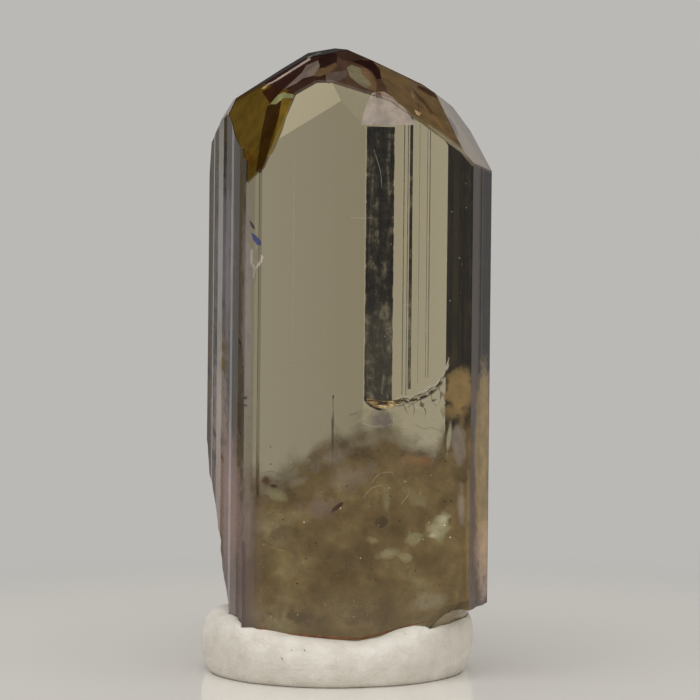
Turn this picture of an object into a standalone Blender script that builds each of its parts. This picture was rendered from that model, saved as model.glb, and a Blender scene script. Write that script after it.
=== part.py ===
"""Rough tanzanite crystal standing in a lump of mounting putty.

Lengths below are in millimetres and are turned to metres where shapes are made. +Z is up,
the broad front face of the crystal looks along -Y, and the putty stands on Z = 0.
"""
import math

import bmesh
import bpy
from mathutils import Matrix, Vector, noise

MM = 0.001

# Where the crystal's own axis stands from the middle of the footprint
PLACE = (0.078, 0.011)

# Driving dimensions of the crystal
CRYSTAL_TOP = 21.6          # top of the uncut prism, above every end facet
LEAN_DEG = 0.6              # the crystal leans to the right
LEAN_PIVOT_Z = 8.76
FRONT_Y = -3.05             # the broad front face
FRONT_LEFT = -2.93
FRONT_RIGHT = 4.08
HALF_WIDTH = 4.70
LEFT_CORNER_Y = 1.70
RIGHT_CORNER_Y = -1.38
BACK_RIDGE = (0.50, 3.35)   # edge between the two broad back faces
BACK_RIGHT = (3.23, 2.45)
LEFT_EDGE = (-3.46, -2.78)  # edge between the left flank and its narrow bevel
BEVEL_EDGE = (-3.16, -2.93)

# Growth lines that run up the faces. On the front and the flanks: how far along the side
# each bend lies, from 0 to 1, and how far in it goes
FRONT_LINES = [(0.35, 0.004), (0.72, 0.0), (0.955, 0.012)]
RIGHT_LINES = [(0.35, 0.01), (0.50, 0.0)]
LEFT_LINES = [(0.10, 0.03), (0.14, 0.01), (0.22, 0.04), (0.38, 0.0), (0.42, 0.06), (0.46, 0.01),
              (0.58, 0.03), (0.66, 0.0), (0.80, 0.03), (0.84, 0.09), (0.90, 0.03), (0.95, 0.07)]
BEVEL_LINES = [(0.50, 0.025), (0.62, 0.0)]
# On the wide back face, single grooves: where, width and depth, as shares of the face
BACK_GROOVES = [(0.80, 0.02, 0.02), (0.90, 0.03, 0.03)]

# Driving dimensions of the putty foot
PUTTY_CENTRE = (-0.40, 0.0)
PUTTY_FOOT_RADIUS = 4.20
PUTTY_RADIUS = 4.55
PUTTY_HEIGHT = 1.85
GAP = 0.28                  # room between the crystal and its pocket in the putty

# Height of the broken lower end above the table, in the middle and out past the putty
BREAK_LOW = 0.85
BREAK_HIGH = 2.45

# The lower left side, broken back at a slant from the left flank
LEFT_BREAK = (100.0, 273.0)
LEFT_BREAK_POINT = (-4.28, 0.0, 4.35)

# A small shell-shaped chip on the left front edge, below the shield face
CHIP_PLACE = (-3.28, -3.28, 14.1)
CHIP_HALF_SIZE = (0.23, 0.25, 0.80)
CHIP_LEAN_DEG = 14.0

# Flat end faces: dip from level, compass direction faced (0 back, 90 right, 180 front,
# 270 left), and distance of the plane from the crystal's heart
HEART = (0.0, 0.0, 14.0)
END_FACES = {
    "roof_left": (31.2, 279.0, 6.38),
    "bevel_left": (34.7, 236.1, 6.60),
    "crown_front": (21.9, 182.4, 6.94),
    "crown_right": (27.0, 141.9, 6.50),
    "crown_top": (11.4, 298.0, 6.76),
    "bevel_outer": (38.3, 110.2, 5.91),
    "roof_right": (35.3, 72.6, 6.01),
    "roof_right_back": (25.9, 68.8, 6.13),
    "shoulder_right": (50.1, 96.6, 5.67),
    "shoulder_right_back": (65.5, 63.2, 5.20),
    "shield": (74.0, 222.0, 4.92),
    "shield_upper": (65.6, 237.8, 5.26),
    "back_left": (80.0, 336.8, 3.76),
    "back_right": (63.8, 14.2, 4.87),
    "shoulder_left": (64.2, 263.3, 5.67),
    "roof_back_left": (51.1, 293.4, 5.94),
}
# Two bevels that run along only part of the front face's upper edge: dip, compass
# direction, reach, and the X between which they lie
SHORT_FACES = {
    "bevel_upper": (45.2, 104.4, 5.65, -1.0, 2.35),
    "bevel_lower": (64.8, 159.9, 5.385, 2.35, 6.0),
}


def facing(dip_deg, compass_deg):
    """Outward normal of a face with this dip and compass direction."""
    dip = math.radians(dip_deg)
    turn = math.radians(compass_deg)
    return Vector((math.sin(dip) * math.sin(turn), math.sin(dip) * math.cos(turn), math.cos(dip)))


def clear_scene():
    for obj in list(bpy.data.objects):
        bpy.data.objects.remove(obj, do_unlink=True)


def new_collection(name):
    collection = bpy.data.collections.new(name)
    bpy.context.scene.collection.children.link(collection)
    return collection


def material(name, colour, roughness, transmission=0.0, ior=1.5):
    """Principled material with one colour."""
    mat = bpy.data.materials.new(name)
    mat.use_nodes = True
    shader = mat.node_tree.nodes["Principled BSDF"]
    shader.inputs["Base Color"].default_value = (*colour, 1.0)
    shader.inputs["Roughness"].default_value = roughness
    shader.inputs["Metallic"].default_value = 0.0
    shader.inputs["Transmission Weight"].default_value = transmission
    shader.inputs["IOR"].default_value = ior
    return mat


def plain_mesh_object(source, name, collection):
    """A mesh object from what a curve or a modifier stack makes, in place of its source."""
    depsgraph = bpy.context.evaluated_depsgraph_get()
    mesh = bpy.data.meshes.new_from_object(source.evaluated_get(depsgraph))
    obj = bpy.data.objects.new(name, mesh)
    obj.matrix_world = source.matrix_world.copy()
    collection.objects.link(obj)
    bpy.data.objects.remove(source, do_unlink=True)
    work = bmesh.new()
    work.from_mesh(mesh)
    bmesh.ops.remove_doubles(work, verts=work.verts, dist=0.000001)
    work.to_mesh(mesh)
    work.free()
    return obj


def extruded_outline(name, points, z_low, z_high, collection):
    """A closed upright solid on a flat outline given in millimetres."""
    curve = bpy.data.curves.new(name, "CURVE")
    curve.dimensions = "2D"
    curve.fill_mode = "BOTH"
    curve.extrude = 0.5 * (z_high - z_low) * MM
    spline = curve.splines.new("POLY")
    spline.points.add(len(points) - 1)
    for point, (x, y) in zip(spline.points, points):
        point.co = (x * MM, y * MM, 0.0, 1.0)
    spline.use_cyclic_u = True
    obj = bpy.data.objects.new(name + "_outline", curve)
    obj.location = (0.0, 0.0, 0.5 * (z_low + z_high) * MM)
    collection.objects.link(obj)
    bpy.context.view_layer.update()
    return plain_mesh_object(obj, name, collection)


def as_cutter(obj):
    obj.display_type = "WIRE"
    obj.hide_render = True


def cut(target, cutter):
    """Take the cutter away from the target."""
    as_cutter(cutter)
    boolean = target.modifiers.new(cutter.name, "BOOLEAN")
    boolean.operation = "DIFFERENCE"
    boolean.solver = "EXACT"
    boolean.object = cutter


def facet_block(name, dip_deg, compass_deg, reach, collection):
    """A block whose inner side is the plane of one flat face."""
    size = 30.0 * MM
    normal = facing(dip_deg, compass_deg)
    bpy.ops.mesh.primitive_cube_add(size=size)
    block = bpy.context.object
    block.name = name
    block.rotation_euler = normal.to_track_quat("Z", "Y").to_euler()
    block.location = Vector(HEART) * MM + normal * (reach * MM + 0.5 * size)
    move_to(block, collection)
    return block


def keep_between(block, x_low, x_high, collection):
    """Shorten a cutting block to what lies between two upright planes."""
    bpy.ops.mesh.primitive_cube_add(size=1.0)
    span = bpy.context.object
    span.name = block.name + "_span"
    span.scale = ((x_high - x_low) * MM, 40.0 * MM, 60.0 * MM)
    span.location = (0.5 * (x_low + x_high) * MM, 0.0, HEART[2] * MM)
    as_cutter(span)
    move_to(span, collection)
    shorten = block.modifiers.new(span.name, "BOOLEAN")
    shorten.operation = "INTERSECT"
    shorten.solver = "EXACT"
    shorten.object = span


def move_to(obj, collection):
    for owner in list(obj.users_collection):
        owner.objects.unlink(obj)
    collection.objects.link(obj)


def ribbed(start, end, marks):
    """Points along one side of the prism, pushed inwards at each mark.

    A mark is how far along the side it lies, from 0 to 1, and how far in it goes.
    The side runs with the inside of the crystal on its left.
    """
    a = Vector(start)
    b = Vector(end)
    along = b - a
    inward = Vector((-along.y, along.x)).normalized()
    points = [tuple(a)]
    for fraction, depth in marks:
        points.append(tuple(a + along * fraction + inward * depth))
    return points


def groove(centre, width, depth):
    """Marks of one groove with sloping walls."""
    return [(centre - width / 2, 0.0), (centre, depth), (centre + width / 2, 0.0)]


def prism_outline():
    """Plan of the crystal, counter-clockwise from its front left edge."""
    front_left = (FRONT_LEFT, FRONT_Y)
    front_right = (FRONT_RIGHT, FRONT_Y)
    right = (HALF_WIDTH, RIGHT_CORNER_Y)
    left = (-HALF_WIDTH, LEFT_CORNER_Y)
    back_marks = [mark for values in BACK_GROOVES for mark in groove(*values)]

    outline = ribbed(front_left, front_right, FRONT_LINES)
    outline += ribbed(front_right, right, RIGHT_LINES)
    outline += ribbed(right, BACK_RIGHT, [])
    outline += ribbed(BACK_RIGHT, BACK_RIDGE, [])
    outline += ribbed(BACK_RIDGE, left, back_marks)
    outline += ribbed(left, LEFT_EDGE, LEFT_LINES)
    outline += ribbed(LEFT_EDGE, BEVEL_EDGE, [])
    outline += ribbed(BEVEL_EDGE, front_left, BEVEL_LINES)
    return outline


def break_height(x, y):
    """Height of the broken lower end, in millimetres: it rises where it leaves the putty."""
    radius = math.dist((x, y), PUTTY_CENTRE)
    height = BREAK_LOW + (BREAK_HIGH - BREAK_LOW) * smooth_step(3.7, 4.9, radius)
    spot = Vector((x, y, 0.0))
    rough = 0.16 * noise.noise(spot * 0.8) + 0.07 * noise.noise(spot * 2.3)
    return height + rough


def smooth_step(low, high, value):
    t = min(1.0, max(0.0, (value - low) / (high - low)))
    return t * t * (3.0 - 2.0 * t)


def rough_block(name, width, depth, cell, height_at, drop, collection):
    """A thick slab whose upper side follows a height, made for cutting from below."""
    bpy.ops.mesh.primitive_grid_add(
        x_subdivisions=round(width / cell), y_subdivisions=round(depth / cell), size=1.0)
    slab = bpy.context.object
    slab.name = name
    for vertex in slab.data.vertices:
        x = vertex.co.x * width
        y = vertex.co.y * depth
        vertex.co = (x * MM, y * MM, height_at(x, y) * MM)
    thick = slab.modifiers.new("thickness", "SOLIDIFY")
    thick.thickness = drop * MM
    thick.offset = -1.0
    move_to(slab, collection)
    return slab


def build_crystal(parts, cutters):
    """The striated prism, with its end faces, its chips and its broken lower end."""
    crystal = extruded_outline("crystal", prism_outline(), 0.2, CRYSTAL_TOP, parts)
    pivot = Matrix.Translation((0.0, 0.0, LEAN_PIVOT_Z * MM))
    lean = pivot @ Matrix.Rotation(math.radians(LEAN_DEG), 4, "Y") @ pivot.inverted()
    crystal.matrix_world = lean @ crystal.matrix_world

    for name, (dip, compass, reach) in END_FACES.items():
        cut(crystal, facet_block(name, dip, compass, reach, cutters))
    for name, (dip, compass, reach, x_low, x_high) in SHORT_FACES.items():
        block = facet_block(name, dip, compass, reach, cutters)
        keep_between(block, x_low, x_high, cutters)
        cut(crystal, block)

    base = rough_block("broken_base", 11.0, 8.0, 0.28, break_height, 3.0, cutters)
    cut(crystal, base)
    cut(crystal, left_break("left_break", 0.0, cutters))
    cut(crystal, edge_chip(cutters))

    crystal.data.materials.append(material("tanzanite", (0.50, 0.46, 0.33), 0.03, 1.0, 1.695))
    return crystal


def left_break(name, outwards, cutters):
    """The lower left side, broken away unevenly; the second copy clears the pocket too."""
    def height_at(x, y):
        spot = Vector((x, y, 4.0))
        return 0.09 * noise.noise(spot * 1.2) + 0.05 * noise.noise(spot * 3.1)

    block = rough_block(name, 10.0, 9.0, 0.30, height_at, 3.0, cutters)
    # the slab's rough side looks at the crystal's heart
    inward = -facing(*LEFT_BREAK)
    block.rotation_euler = inward.to_track_quat("Z", "Y").to_euler()
    block.location = (Vector(LEFT_BREAK_POINT) - inward * outwards) * MM
    return block


def edge_chip(cutters):
    """The hollow that a small chip has left on the left front edge."""
    bpy.ops.mesh.primitive_ico_sphere_add(subdivisions=3, radius=MM)
    chip = bpy.context.object
    chip.name = "edge_chip"
    chip.scale = CHIP_HALF_SIZE
    chip.location = Vector(CHIP_PLACE) * MM
    chip.rotation_euler = (0.0, math.radians(CHIP_LEAN_DEG), 0.0)
    move_to(chip, cutters)
    return chip


def putty_profile():
    """Half section of the putty, from its axis under the foot, out and back over the top."""
    return [
        (0.0, 0.0),
        (0.5 * PUTTY_FOOT_RADIUS, 0.0),
        (PUTTY_FOOT_RADIUS, 0.0),
        (PUTTY_FOOT_RADIUS + 0.20, 0.15),
        (PUTTY_RADIUS - 0.05, 0.50),
        (PUTTY_RADIUS, 0.90),
        (PUTTY_RADIUS - 0.03, 1.30),
        (PUTTY_RADIUS - 0.17, 1.60),
        (PUTTY_RADIUS - 0.45, PUTTY_HEIGHT),
        (PUTTY_RADIUS - 0.90, PUTTY_HEIGHT + 0.05),
        (0.4 * PUTTY_RADIUS, PUTTY_HEIGHT),
        (0.0, PUTTY_HEIGHT),
    ]


def build_putty(parts, cutters):
    """A hand-pressed round of putty with a pocket that holds the crystal's lower end."""
    profile = bpy.data.meshes.new("putty_profile")
    points = putty_profile()[::-1]
    profile.from_pydata([(r * MM, 0.0, z * MM) for r, z in points],
                        [(i, i + 1) for i in range(len(points) - 1)], [])
    turned = bpy.data.objects.new("putty_turned", profile)
    parts.objects.link(turned)
    screw = turned.modifiers.new("turn", "SCREW")
    screw.steps = 56
    screw.render_steps = 56
    screw.use_merge_vertices = True
    screw.merge_threshold = 0.000001
    bpy.context.view_layer.update()
    putty = plain_mesh_object(turned, "putty_foot", parts)
    putty.location = (PUTTY_CENTRE[0] * MM, PUTTY_CENTRE[1] * MM, 0.0)
    press_by_hand(putty)

    pocket = pocket_cutter(cutters)
    cut(putty, pocket)
    putty.data.materials.append(material("mounting_putty", (0.60, 0.55, 0.46), 0.75))
    for polygon in putty.data.polygons:
        polygon.use_smooth = True
    putty.data.set_sharp_from_angle(angle=math.radians(50.0))
    return putty


def press_by_hand(putty):
    """Dents and bulges of the putty: none under the foot, most at the rim."""
    for vertex in putty.data.vertices:
        height = vertex.co.z / MM
        if height < 0.001:
            continue
        spot = vertex.co / MM
        angle = math.atan2(spot.y, spot.x)
        share = smooth_step(0.0, 0.8, height)
        push = 0.10 * noise.noise(spot * 0.75) + 0.05 * noise.noise(spot * 2.0)
        # the lip stands higher at the left and right and lower in the middle of the front
        lip = (0.20 * smooth_step(0.4, 1.0, abs(math.cos(angle)))
               - 0.40 * smooth_step(0.70, 1.0, -math.sin(angle)))
        radial = Vector((math.cos(angle), math.sin(angle), 0.0))
        vertex.co += radial * (push * share * MM)
        vertex.co.z += (0.6 * push + lip) * smooth_step(1.0, 1.8, height) * MM


def pocket_floor_height(x, y):
    return break_height(x, y) - GAP - 0.08


def pocket_cutter(cutters):
    """The crystal's plain plan, wider by the gap, down to just below the broken end."""
    corners = [(FRONT_LEFT, FRONT_Y), (FRONT_RIGHT, FRONT_Y), (HALF_WIDTH, RIGHT_CORNER_Y), BACK_RIGHT,
               BACK_RIDGE, (-HALF_WIDTH, LEFT_CORNER_Y), LEFT_EDGE]
    pocket = extruded_outline("pocket", widened(corners, GAP), 0.2, 6.0, cutters)
    pocket.location.x -= math.radians(LEAN_DEG) * (LEAN_PIVOT_Z - BREAK_LOW) * MM
    floor = rough_block("pocket_floor", 13.0, 11.0, 0.5, pocket_floor_height, 3.0, cutters)
    cut(pocket, floor)
    cut(pocket, left_break("pocket_left", GAP, cutters))
    return pocket


def widened(corners, gap):
    """A convex outline moved outwards by the gap, with sharp corners kept."""
    result = []
    count = len(corners)
    for i in range(count):
        before = Vector(corners[i - 1])
        here = Vector(corners[i])
        after = Vector(corners[(i + 1) % count])
        first = (here - before).normalized()
        second = (after - here).normalized()
        normal_a = Vector((first.y, -first.x))
        normal_b = Vector((second.y, -second.x))
        middle = (normal_a + normal_b).normalized()
        result.append(tuple(here + middle * (gap / middle.dot(normal_a))))
    return result


def stand_on_origin(collections):
    """Hang everything on one empty, so that the middle of the footprint is the origin."""
    specimen = bpy.data.objects.new("specimen", None)
    bpy.context.scene.collection.objects.link(specimen)
    specimen.location = (PLACE[0] * MM, PLACE[1] * MM, 0.0)
    for collection in collections:
        for obj in collection.objects:
            obj.parent = specimen


clear_scene()
part_collection = new_collection("tanzanite_crystal")
cutter_collection = new_collection("cutters")
build_crystal(part_collection, cutter_collection)
build_putty(part_collection, cutter_collection)
stand_on_origin([part_collection, cutter_collection])
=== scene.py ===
"""Looks of a rough tanzanite crystal that stands in a lump of mounting putty.

Lengths are in millimetres and are turned to metres where a shape is made. The frame's
origin is the middle of the footprint, +Z is up, and the broad front face looks along -Y.
"""
import math

import bmesh
import bpy
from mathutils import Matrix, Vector, noise


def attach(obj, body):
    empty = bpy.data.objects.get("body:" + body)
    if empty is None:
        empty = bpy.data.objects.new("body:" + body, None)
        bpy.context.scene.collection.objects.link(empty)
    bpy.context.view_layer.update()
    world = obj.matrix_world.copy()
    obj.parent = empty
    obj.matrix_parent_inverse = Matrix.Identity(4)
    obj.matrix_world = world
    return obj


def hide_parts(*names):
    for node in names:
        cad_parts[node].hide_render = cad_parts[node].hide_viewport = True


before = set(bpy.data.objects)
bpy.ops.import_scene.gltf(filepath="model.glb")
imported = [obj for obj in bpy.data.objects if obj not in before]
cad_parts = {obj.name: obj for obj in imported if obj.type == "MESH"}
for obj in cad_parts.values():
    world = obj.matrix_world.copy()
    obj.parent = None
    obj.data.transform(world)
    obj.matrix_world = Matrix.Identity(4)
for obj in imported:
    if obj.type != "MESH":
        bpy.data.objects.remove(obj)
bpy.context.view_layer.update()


# The crystal
# One natural crystal of zoisite in its unheated, olive brown state. It is clear and glossy,
# with fine upright growth lines on its sides, and it stands in the putty by its broken end.

MM = 0.001
WELD_DISTANCE = 0.002
ZOISITE_IOR = 1.695
# share of light left after a path in the stone, for red, green and blue
LIGHT_LEFT = (0.616, 0.554, 0.389)
LIGHT_PATH = 5.0


def linear(hex_colour):
    """An sRGB hex colour as the linear values that shaders take."""
    channels = [int(hex_colour[i:i + 2], 16) / 255 for i in (1, 3, 5)]
    values = [c / 12.92 if c <= 0.04045 else ((c + 0.055) / 1.055) ** 2.4 for c in channels]
    return (*values, 1.0)


def node(tree, kind, inputs=None, stops=(), **settings):
    """Add a node: inputs are values, sockets or nodes, and stops the (position, hex) of a ramp."""
    made = tree.nodes.new(kind)
    for name, value in settings.items():
        setattr(made, name, value)
    for index, (position, hex_colour) in enumerate(stops):
        elements = made.color_ramp.elements
        element = elements[index] if index < 2 else elements.new(position)
        element.position = position
        element.color = linear(hex_colour)
    for key, value in (inputs or {}).items():
        if isinstance(value, bpy.types.Node):
            value = next(socket for socket in value.outputs if socket.enabled)
        if isinstance(value, bpy.types.NodeSocket):
            tree.links.new(value, made.inputs[key])
        else:
            made.inputs[key].default_value = value
    return made


def new_material(name):
    """An empty node material and its tree."""
    mat = bpy.data.materials.new(name)
    mat.use_nodes = True
    mat.node_tree.nodes.clear()
    return mat, mat.node_tree


def new_piece(name, mesh):
    """An object of a mesh, which stands in the shared frame as it is."""
    obj = bpy.data.objects.new(name, mesh)
    bpy.context.scene.collection.objects.link(obj)
    return obj


def shaped_piece(name, work):
    """A piece of what a bmesh has been worked into."""
    mesh = bpy.data.meshes.new(name)
    work.to_mesh(mesh)
    work.free()
    return new_piece(name, mesh)


def merged_copy(node_name, name):
    """A copy of a CAD solid's mesh with its loose triangles joined."""
    work = bmesh.new()
    work.from_mesh(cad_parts[node_name].data)
    bmesh.ops.remove_doubles(work, verts=work.verts, dist=WELD_DISTANCE * MM)
    return shaped_piece(name, work)


def zoisite_material(name, body_tint, painted_reflection_tint):
    """Clear zoisite: glossy growth faces, olive brown from what the stone takes out of light, with a painted
    tint on its reflections.
    """
    mat, tree = new_material(name)
    taken = [-math.log(left) / LIGHT_PATH for left in LIGHT_LEFT]
    strongest = max(taken)
    shader = node(tree, "ShaderNodeBsdfPrincipled", {
        "Base Color": linear(body_tint), "Roughness": 0.0, "IOR": ZOISITE_IOR,
        "Transmission Weight": 1.0, "Specular Tint": linear(painted_reflection_tint)})
    absorption = node(tree, "ShaderNodeVolumeAbsorption", {
        "Color": (*[1.0 - t / strongest for t in taken], 1.0), "Density": strongest / MM})
    node(tree, "ShaderNodeOutputMaterial", {"Surface": shader, "Volume": absorption})
    return mat


# Tanzanite is pleochroic: light takes on another colour along each direction in it, given here as a tint by
# group of faces. The gloss tints are painted reflection colour. Name of a group of faces, tint of light
# through them, painted tint of their gloss, and the faces' dip from level and compass direction (0 back, 90
# right, 180 front, 270 left)
FACE_GROUPS = (
    ("clear_zoisite", "#FFFFFF", "#FFFFFF", ()),
    ("zoisite_violet_side", "#E8DCE4", "#E6DCE2", ((90, 253), (90, 243), (90, 263), (90, 217))),
    # painted shade: a darker tint of the light through the right front side
    ("zoisite_side_painted_dark", "#8E7A90", "#C8BEC8", ((90, 110),)),
    ("zoisite_brown_end", "#EACEC0", "#D0A898", ((22, 182), (27, 142), (45, 104), (31, 279), (35, 236))),
    ("zoisite_olive_end", "#F6E0C0", "#D8B898", ((38, 110), (35, 73))),
    ("zoisite_yellow_shield", "#FFE28A", "#E0C080", ((74, 222), (66, 238))),
)
FACE_TOLERANCE_DEG = 4.0


def direction(compass_deg, height_deg):
    """Unit vector towards a place around the object: 0 is behind it, 90 to its right."""
    turn = math.radians(compass_deg)
    rise = math.radians(height_deg)
    return (math.sin(turn) * math.cos(rise), math.cos(turn) * math.cos(rise), math.sin(rise))


def faces_towards(mesh, dip, compass):
    """The mesh's faces that look this way."""
    aim = Vector(direction(compass, 90 - dip))
    limit = math.cos(math.radians(FACE_TOLERANCE_DEG))
    return [polygon for polygon in mesh.polygons if polygon.normal.dot(aim) > limit]


def tint_faces(mesh):
    """Give each face of the crystal the material of the group that it faces with."""
    for index, (name, body_tint, painted_reflection_tint, faces) in enumerate(FACE_GROUPS):
        mesh.materials.append(zoisite_material(name, body_tint, painted_reflection_tint))
        for dip, compass in faces:
            for polygon in faces_towards(mesh, dip, compass):
                polygon.material_index = index


crystal = merged_copy("crystal", "zoisite_crystal")
tint_faces(crystal.data)
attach(crystal, "root")
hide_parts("crystal")


# The cloudy base
# Towards its broken end the stone is milky with veils of tiny fluid inclusions and healed
# cracks. The milkiness ends upwards in wisps, low at the left and high at the right.

LEAN = math.radians(0.6)            # the crystal leans to the right
LEAN_PIVOT_Z = 8.76
STONE_MIDDLE = (0.078, 0.011)       # the prism's middle in plan, at the pivot's height
# the broken lower left side: X on the middle line at a height, and how it changes in Y and Z
BROKEN_SIDE_X = -4.12
BROKEN_SIDE_Z = 4.35
BROKEN_SIDE_SKEW = 0.052
BROKEN_SIDE_SLANT = -0.177
CLOUD_PLAN = [(-2.85, -2.85), (3.93, -2.85), (4.50, -1.35), (3.10, 2.30), (0.48, 3.15), (-4.50, 1.62),
              (-3.36, -2.68)]
CLOUD_TOP = ((-4.8, 6.6), (-2.8, 6.1), (-1.9, 6.4), (-0.9, 7.1), (0.5, 7.7), (1.5, 8.0), (2.2, 7.3),
             (2.9, 7.2), (3.5, 7.9), (4.8, 7.9))
CLOUD_BOTTOM = 1.05
CLOUD_FADE = 1.3                    # how far the wisps reach above the milky part
CLOUD_LEVELS = 28
CLOUD_STEP = 0.35                   # between two points of its outline
CLOUD_AXIS = (-0.4, 0.0)
CLOUD_CORNERS = (3.5, 4.6)          # its bottom rises where the outline is this far from the axis
CLOUD_CORNER_RISE = 1.6
CLOUD_TAPER = 0.05                  # share by which its foot narrows
CLOUD_TOP_LUMPS = (0.36, 0.9)       # height, and how many to the millimetre
CLOUD_SIDE_LUMPS = (0.03, 0.6)      # share of the radius, and how many to the millimetre
# strength of the painted glow that stands in for light scattered by the inclusions
CLOUD_PAINTED_GLOW = 0.22
TOPS_REACH = 4.8                    # the curve of tops runs this far to the left and right
TOPS_HEIGHT = 12.0                  # the height that its value of 1 stands for


def along(stations, where):
    """Straight interpolation between (place, value) stations."""
    for (a, value_a), (b, value_b) in zip(stations, stations[1:]):
        if where <= b:
            return value_a + (value_b - value_a) * (where - a) / (b - a)
    return stations[-1][1]


def smooth_step(low, high, value):
    """0 up to the low end, 1 from the high end on, and a soft rise between them."""
    t = min(1.0, max(0.0, (value - low) / (high - low)))
    return t * t * (3.0 - 2.0 * t)


def lump(place, size, scale):
    """Uneven value of up to the size at a place, for lumps and dents."""
    return size * noise.noise(Vector(place) * scale)


def leaning(x, y, z):
    """A place in the upright crystal, in millimetres, as a place in the leaning one in metres."""
    return Vector((x + LEAN * (z - LEAN_PIVOT_Z), y, z)) * MM


def add_sides(work, rows):
    """Faces between closed rows of points, from each row to the next."""
    for lower, upper in zip(rows, rows[1:]):
        for i in range(len(lower)):
            j = (i + 1) % len(lower)
            work.faces.new((lower[i], lower[j], upper[j], upper[i]))


def close_body(work, rows):
    """Close rows of points to a body, with a flat end at the first and at the last row."""
    add_sides(work, rows)
    ends = [work.faces.new(rows[0][::-1]), work.faces.new(rows[-1])]
    if len(rows[0]) > 4:
        bmesh.ops.triangulate(work, faces=ends)
    bmesh.ops.recalc_face_normals(work, faces=work.faces)


def cloud_body():
    """A closed body that fills the base of the crystal, with a lumpy top."""
    outline = []
    for a, b in zip(CLOUD_PLAN, CLOUD_PLAN[1:] + CLOUD_PLAN[:1]):
        steps = max(1, round(math.dist(a, b) / CLOUD_STEP))
        outline += [Vector(a).lerp(Vector(b), i / steps) for i in range(steps)]
    work = bmesh.new()
    rings = []
    for level in range(CLOUD_LEVELS):
        t = level / (CLOUD_LEVELS - 1)
        ring = []
        for spot in outline:
            high = along(CLOUD_TOP, spot.x) + CLOUD_FADE + lump((spot.x, spot.y, 7.0), *CLOUD_TOP_LUMPS)
            low = CLOUD_BOTTOM + CLOUD_CORNER_RISE * smooth_step(*CLOUD_CORNERS, math.dist(spot, CLOUD_AXIS))
            z = low + (high - low) * t
            inward = 1.0 - CLOUD_TAPER * (1.0 - t) ** 8 - lump((spot.x, spot.y, z), *CLOUD_SIDE_LUMPS)
            broken_side = BROKEN_SIDE_X + BROKEN_SIDE_SKEW * spot.y + BROKEN_SIDE_SLANT * (z - BROKEN_SIDE_Z)
            x = STONE_MIDDLE[0] + max(spot.x * inward, broken_side)
            ring.append(work.verts.new(leaning(x, STONE_MIDDLE[1] + spot.y * inward, z)))
        rings.append(ring)
    close_body(work, rings)
    body = shaped_piece("cloudy_base", work)
    body.data.shade_smooth()
    body.data.set_sharp_from_angle(angle=math.radians(30.0))
    return body


def per_metre(size_mm):
    """Noise scale for features of this size on Object coordinates."""
    return 1.0 / (size_mm * MM)


def cloud_material():
    """Veils of fluid inclusions: dull, uneven olive brown, and violet brown at the left.

    The faint glow is painted light, in place of the light that the inclusions scatter from all sides.
    """
    mat, tree = new_material("clouded_zoisite")
    place = node(tree, "ShaderNodeTexCoord").outputs["Object"]
    parts = node(tree, "ShaderNodeSeparateXYZ", {0: place})
    x = parts.outputs["X"]
    z = parts.outputs["Z"]
    blotches = node(tree, "ShaderNodeTexNoise", {
        "Vector": place, "Scale": per_metre(1.5), "Detail": 5.0, "Roughness": 0.55, "Distortion": 0.2})
    colour = node(tree, "ShaderNodeValToRGB", {"Fac": blotches}, stops=(
        (0.30, "#846C40"), (0.45, "#9A8252"), (0.56, "#A8905E"), (0.74, "#C4B486")))
    fine = node(tree, "ShaderNodeTexNoise", {
        "Vector": place, "Scale": per_metre(0.42), "Detail": 6.0, "Roughness": 0.6, "Distortion": 0.2})
    shade = node(tree, "ShaderNodeMapRange", {
        "Value": fine, "From Min": 0.30, "From Max": 0.70, "To Min": 0.80, "To Max": 1.22})
    mottled = node(tree, "ShaderNodeVectorMath", {0: colour, "Scale": shade}, operation="SCALE")
    leftness = node(tree, "ShaderNodeMapRange", {"Value": x, "From Min": -2.6 * MM, "From Max": -3.3 * MM},
                    interpolation_type="SMOOTHSTEP")
    tinted = node(tree, "ShaderNodeMix", {"Factor": leftness, "A": mottled, "B": linear("#9A867A")},
                  data_type="RGBA")
    # the height up to which the stone is milky, by X
    across = node(tree, "ShaderNodeMapRange", {
        "Value": x, "From Min": -TOPS_REACH * MM, "From Max": TOPS_REACH * MM})
    curve = node(tree, "ShaderNodeFloatCurve", {"Value": across})
    points = curve.mapping.curves[0].points
    tops = [(0.5 + 0.5 * at / TOPS_REACH, high / TOPS_HEIGHT) for at, high in CLOUD_TOP]
    points[0].location = tops[0]
    points[1].location = tops[-1]
    for spot in tops[1:-1]:
        points.new(*spot)
    curve.mapping.update()
    top = node(tree, "ShaderNodeMath", {0: curve, 1: TOPS_HEIGHT * MM}, operation="MULTIPLY")
    above = node(tree, "ShaderNodeMath", {0: z, 1: top}, operation="SUBTRACT")
    wisps = node(tree, "ShaderNodeTexNoise", {
        "Vector": place, "Scale": per_metre(1.2), "Detail": 5.0, "Roughness": 0.55, "Distortion": 0.3})
    height = node(tree, "ShaderNodeMath", {0: wisps, 1: 3.2 * MM, 2: above}, operation="MULTIPLY_ADD")
    clear = node(tree, "ShaderNodeMapRange", {
        "Value": height, "From Min": 2.5 * MM, "From Max": 1.1 * MM}, interpolation_type="SMOOTHSTEP")
    shader = node(tree, "ShaderNodeBsdfPrincipled", {
        "Base Color": tinted, "Roughness": 1.0, "Specular IOR Level": 0.0, "Alpha": clear,
        "Emission Color": tinted, "Emission Strength": CLOUD_PAINTED_GLOW})
    node(tree, "ShaderNodeOutputMaterial", {"Surface": shader})
    return mat


cloud = cloud_body()
cloud.data.materials.append(cloud_material())
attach(cloud, "root")


# The etched bands
# Upright bands where the back right face has been etched along its growth lines, dark with painted shade in
# place of the light that the etched grooves turn away, and with a faint painted glow. They are part of the
# stone, seen through it as thin mottled sheets just inside that face.

BACK_FACE = ((0.58, 3.30), (3.31, 2.40))    # the face's two edges in plan
BAND_DEPTH = 0.10                           # how far inside the face the bands lie
BAND_THICKNESS = 0.03
RAGGED_WIDTH = 0.5                          # only bands wider than this have ragged sides
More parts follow.
